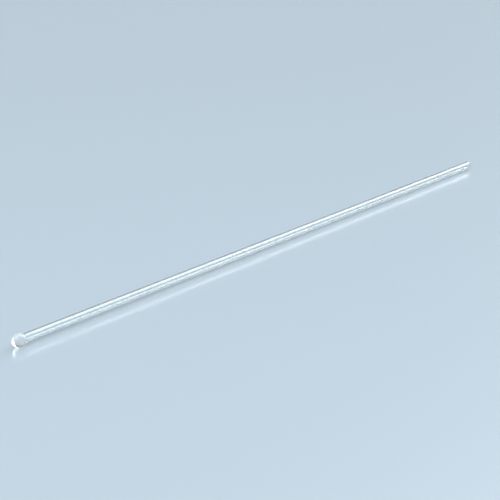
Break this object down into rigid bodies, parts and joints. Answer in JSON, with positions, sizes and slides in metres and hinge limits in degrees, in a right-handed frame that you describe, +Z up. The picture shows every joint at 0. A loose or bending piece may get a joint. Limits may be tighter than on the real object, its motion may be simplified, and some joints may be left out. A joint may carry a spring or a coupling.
{
  "type": "glass capillary tube",
  "caption": "Thin clear glass capillary tube, sealed at one end in a round bead and open at the other, for holding a small sample.",
  "frame": {"origin": "on the surface the tube lies on, below the middle of its length", "axes": "+X along the tube towards its open mouth, +Z up from the surface it lies on"},
  "size_m": [0.08, 0.0016, 0.0016],
  "materials": {
    "clear_glass": "clear drawn borosilicate glass, smooth and glossy, fire-polished at the bead"
  },
  "bodies": {
    "root": {"capillary_tube": "clear_glass"}
  },
  "joints": []
}
